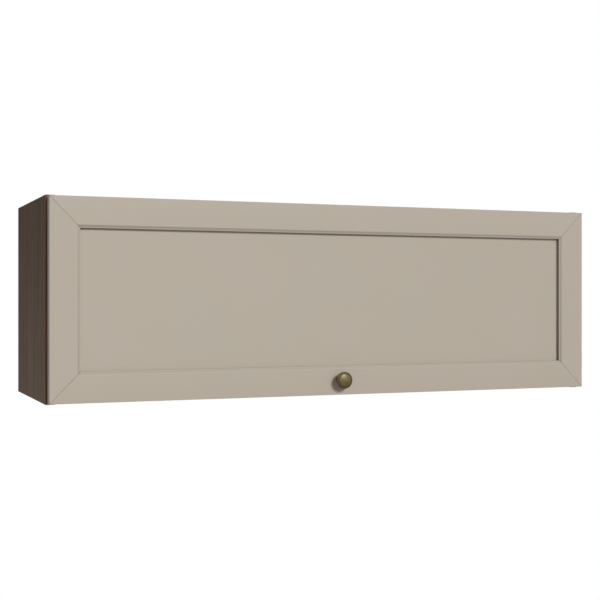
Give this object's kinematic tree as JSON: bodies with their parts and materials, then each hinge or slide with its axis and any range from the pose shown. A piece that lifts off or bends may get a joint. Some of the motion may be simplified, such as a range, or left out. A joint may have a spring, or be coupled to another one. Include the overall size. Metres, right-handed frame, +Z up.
{
  "type": "lift up wall cabinet",
  "caption": "Low wide wall cabinet with a framed flap door that lifts on concealed hinges and spring lift arms, opened by a round metal knob.",
  "frame": {"origin": "middle of the upper hanging rail's rear face, where the cabinet is screwed to the wall", "axes": "+Y into the wall, +Z up, +X to the right as seen from the front; the door faces -Y"},
  "size_m": [1.2, 0.3995, 0.398],
  "materials": {
    "walnut_board": "matt dark walnut melamine with fine upright grain",
    "edge_band": "satin dark brown edge band",
    "back_board": "matt printed hardboard",
    "rail_board": "matt dark walnut melamine",
    "door_lacquer": "satin warm grey beige foil on fibreboard",
    "antique_brass": "aged, half gloss",
    "zinc_steel": "zinc plated",
    "nickel_steel": "nickel plated",
    "spring_steel": "oiled",
    "grey_plastic": "fine texture",
    "beech": "raw, fluted",
    "clear_rubber": "soft, half clear"
  },
  "bodies": {
    "carcass": {"left_side_panel": "walnut_board", "right_side_panel": "walnut_board", "top_board": "walnut_board", "bottom_board": "walnut_board", "left_side_edge_band": "edge_band", "right_side_edge_band": "edge_band", "top_edge_band": "edge_band", "bottom_edge_band": "edge_band", "back_panel": "back_board", "upper_hanging_rail": "rail_board", "lower_rail": "rail_board", "top_left_front_cam_fitting": "zinc_steel", "top_left_rear_cam_fitting": "zinc_steel", "top_right_front_cam_fitting": "zinc_steel", "top_right_rear_cam_fitting": "zinc_steel", "bottom_left_front_cam_fitting": "zinc_steel", "bottom_left_rear_cam_fitting": "zinc_steel", "bottom_right_front_cam_fitting": "zinc_steel", "bottom_right_rear_cam_fitting": "zinc_steel", "top_left_front_dowel": "beech", "top_left_rear_dowel": "beech", "top_right_front_dowel": "beech", "top_right_rear_dowel": "beech", "bottom_left_front_dowel": "beech", "bottom_left_rear_dowel": "beech", "bottom_right_front_dowel": "beech", "bottom_right_rear_dowel": "beech", "left_hinge_arm": "nickel_steel", "middle_hinge_arm": "nickel_steel", "right_hinge_arm": "nickel_steel", "left_hinge_plate": "nickel_steel", "middle_hinge_plate": "nickel_steel", "right_hinge_plate": "nickel_steel", "left_lift_base": "zinc_steel", "right_lift_base": "zinc_steel", "left_lift_cover": "grey_plastic", "right_lift_cover": "grey_plastic", "left_lift_spring": "spring_steel", "right_lift_spring": "spring_steel"},
    "door": {"door_top_rail": "door_lacquer", "door_bottom_rail": "door_lacquer", "door_left_stile": "door_lacquer", "door_right_stile": "door_lacquer", "door_centre_panel": "door_lacquer", "knob_stem": "antique_brass", "knob_head": "antique_brass", "knob_screw": "zinc_steel", "left_bumper": "clear_rubber", "right_bumper": "clear_rubber", "left_hinge_cup": "nickel_steel", "middle_hinge_cup": "nickel_steel", "right_hinge_cup": "nickel_steel", "left_door_bracket": "zinc_steel", "right_door_bracket": "zinc_steel"},
    "left_lift_lever": {"left_lift_lever": "nickel_steel"},
    "right_lift_lever": {"right_lift_lever": "nickel_steel"},
    "left_lift_link": {"left_lift_link": "nickel_steel"},
    "right_lift_link": {"right_lift_link": "nickel_steel"}
  },
  "joints": [
    {"name": "door_hinge", "type": "hinge", "parent": "carcass", "child": "door", "pos_m": [0, -0.3615, 0.04881], "axis": [-1, 0, 0], "range_deg": [0, 90]},
    {"name": "left_lever_pivot", "type": "hinge", "parent": "carcass", "child": "left_lift_lever", "pos_m": [-0.557, -0.2815, -0.00919], "axis": [-1, 0, 0], "range_deg": [0, 90]},
    {"name": "right_lever_pivot", "type": "hinge", "parent": "carcass", "child": "right_lift_lever", "pos_m": [0.557, -0.2815, -0.00919], "axis": [-1, 0, 0], "range_deg": [0, 90]},
    {"name": "left_link_pivot", "type": "hinge", "parent": "left_lift_lever", "child": "left_lift_link", "pos_m": [-0.55275, -0.2595, -0.11919], "axis": [-1, 0, 0], "range_deg": [-90, 0]},
    {"name": "right_link_pivot", "type": "hinge", "parent": "right_lift_lever", "child": "right_lift_link", "pos_m": [0.55275, -0.2595, -0.11919], "axis": [-1, 0, 0], "range_deg": [-90, 0]}
  ],
  "couplings": [
    {"joint": "left_lever_pivot", "follows": "door_hinge", "ratio": 1},
    {"joint": "right_lever_pivot", "follows": "door_hinge", "ratio": 1},
    {"joint": "left_link_pivot", "follows": "door_hinge", "ratio": -1},
    {"joint": "right_link_pivot", "follows": "door_hinge", "ratio": -1}
  ]
}
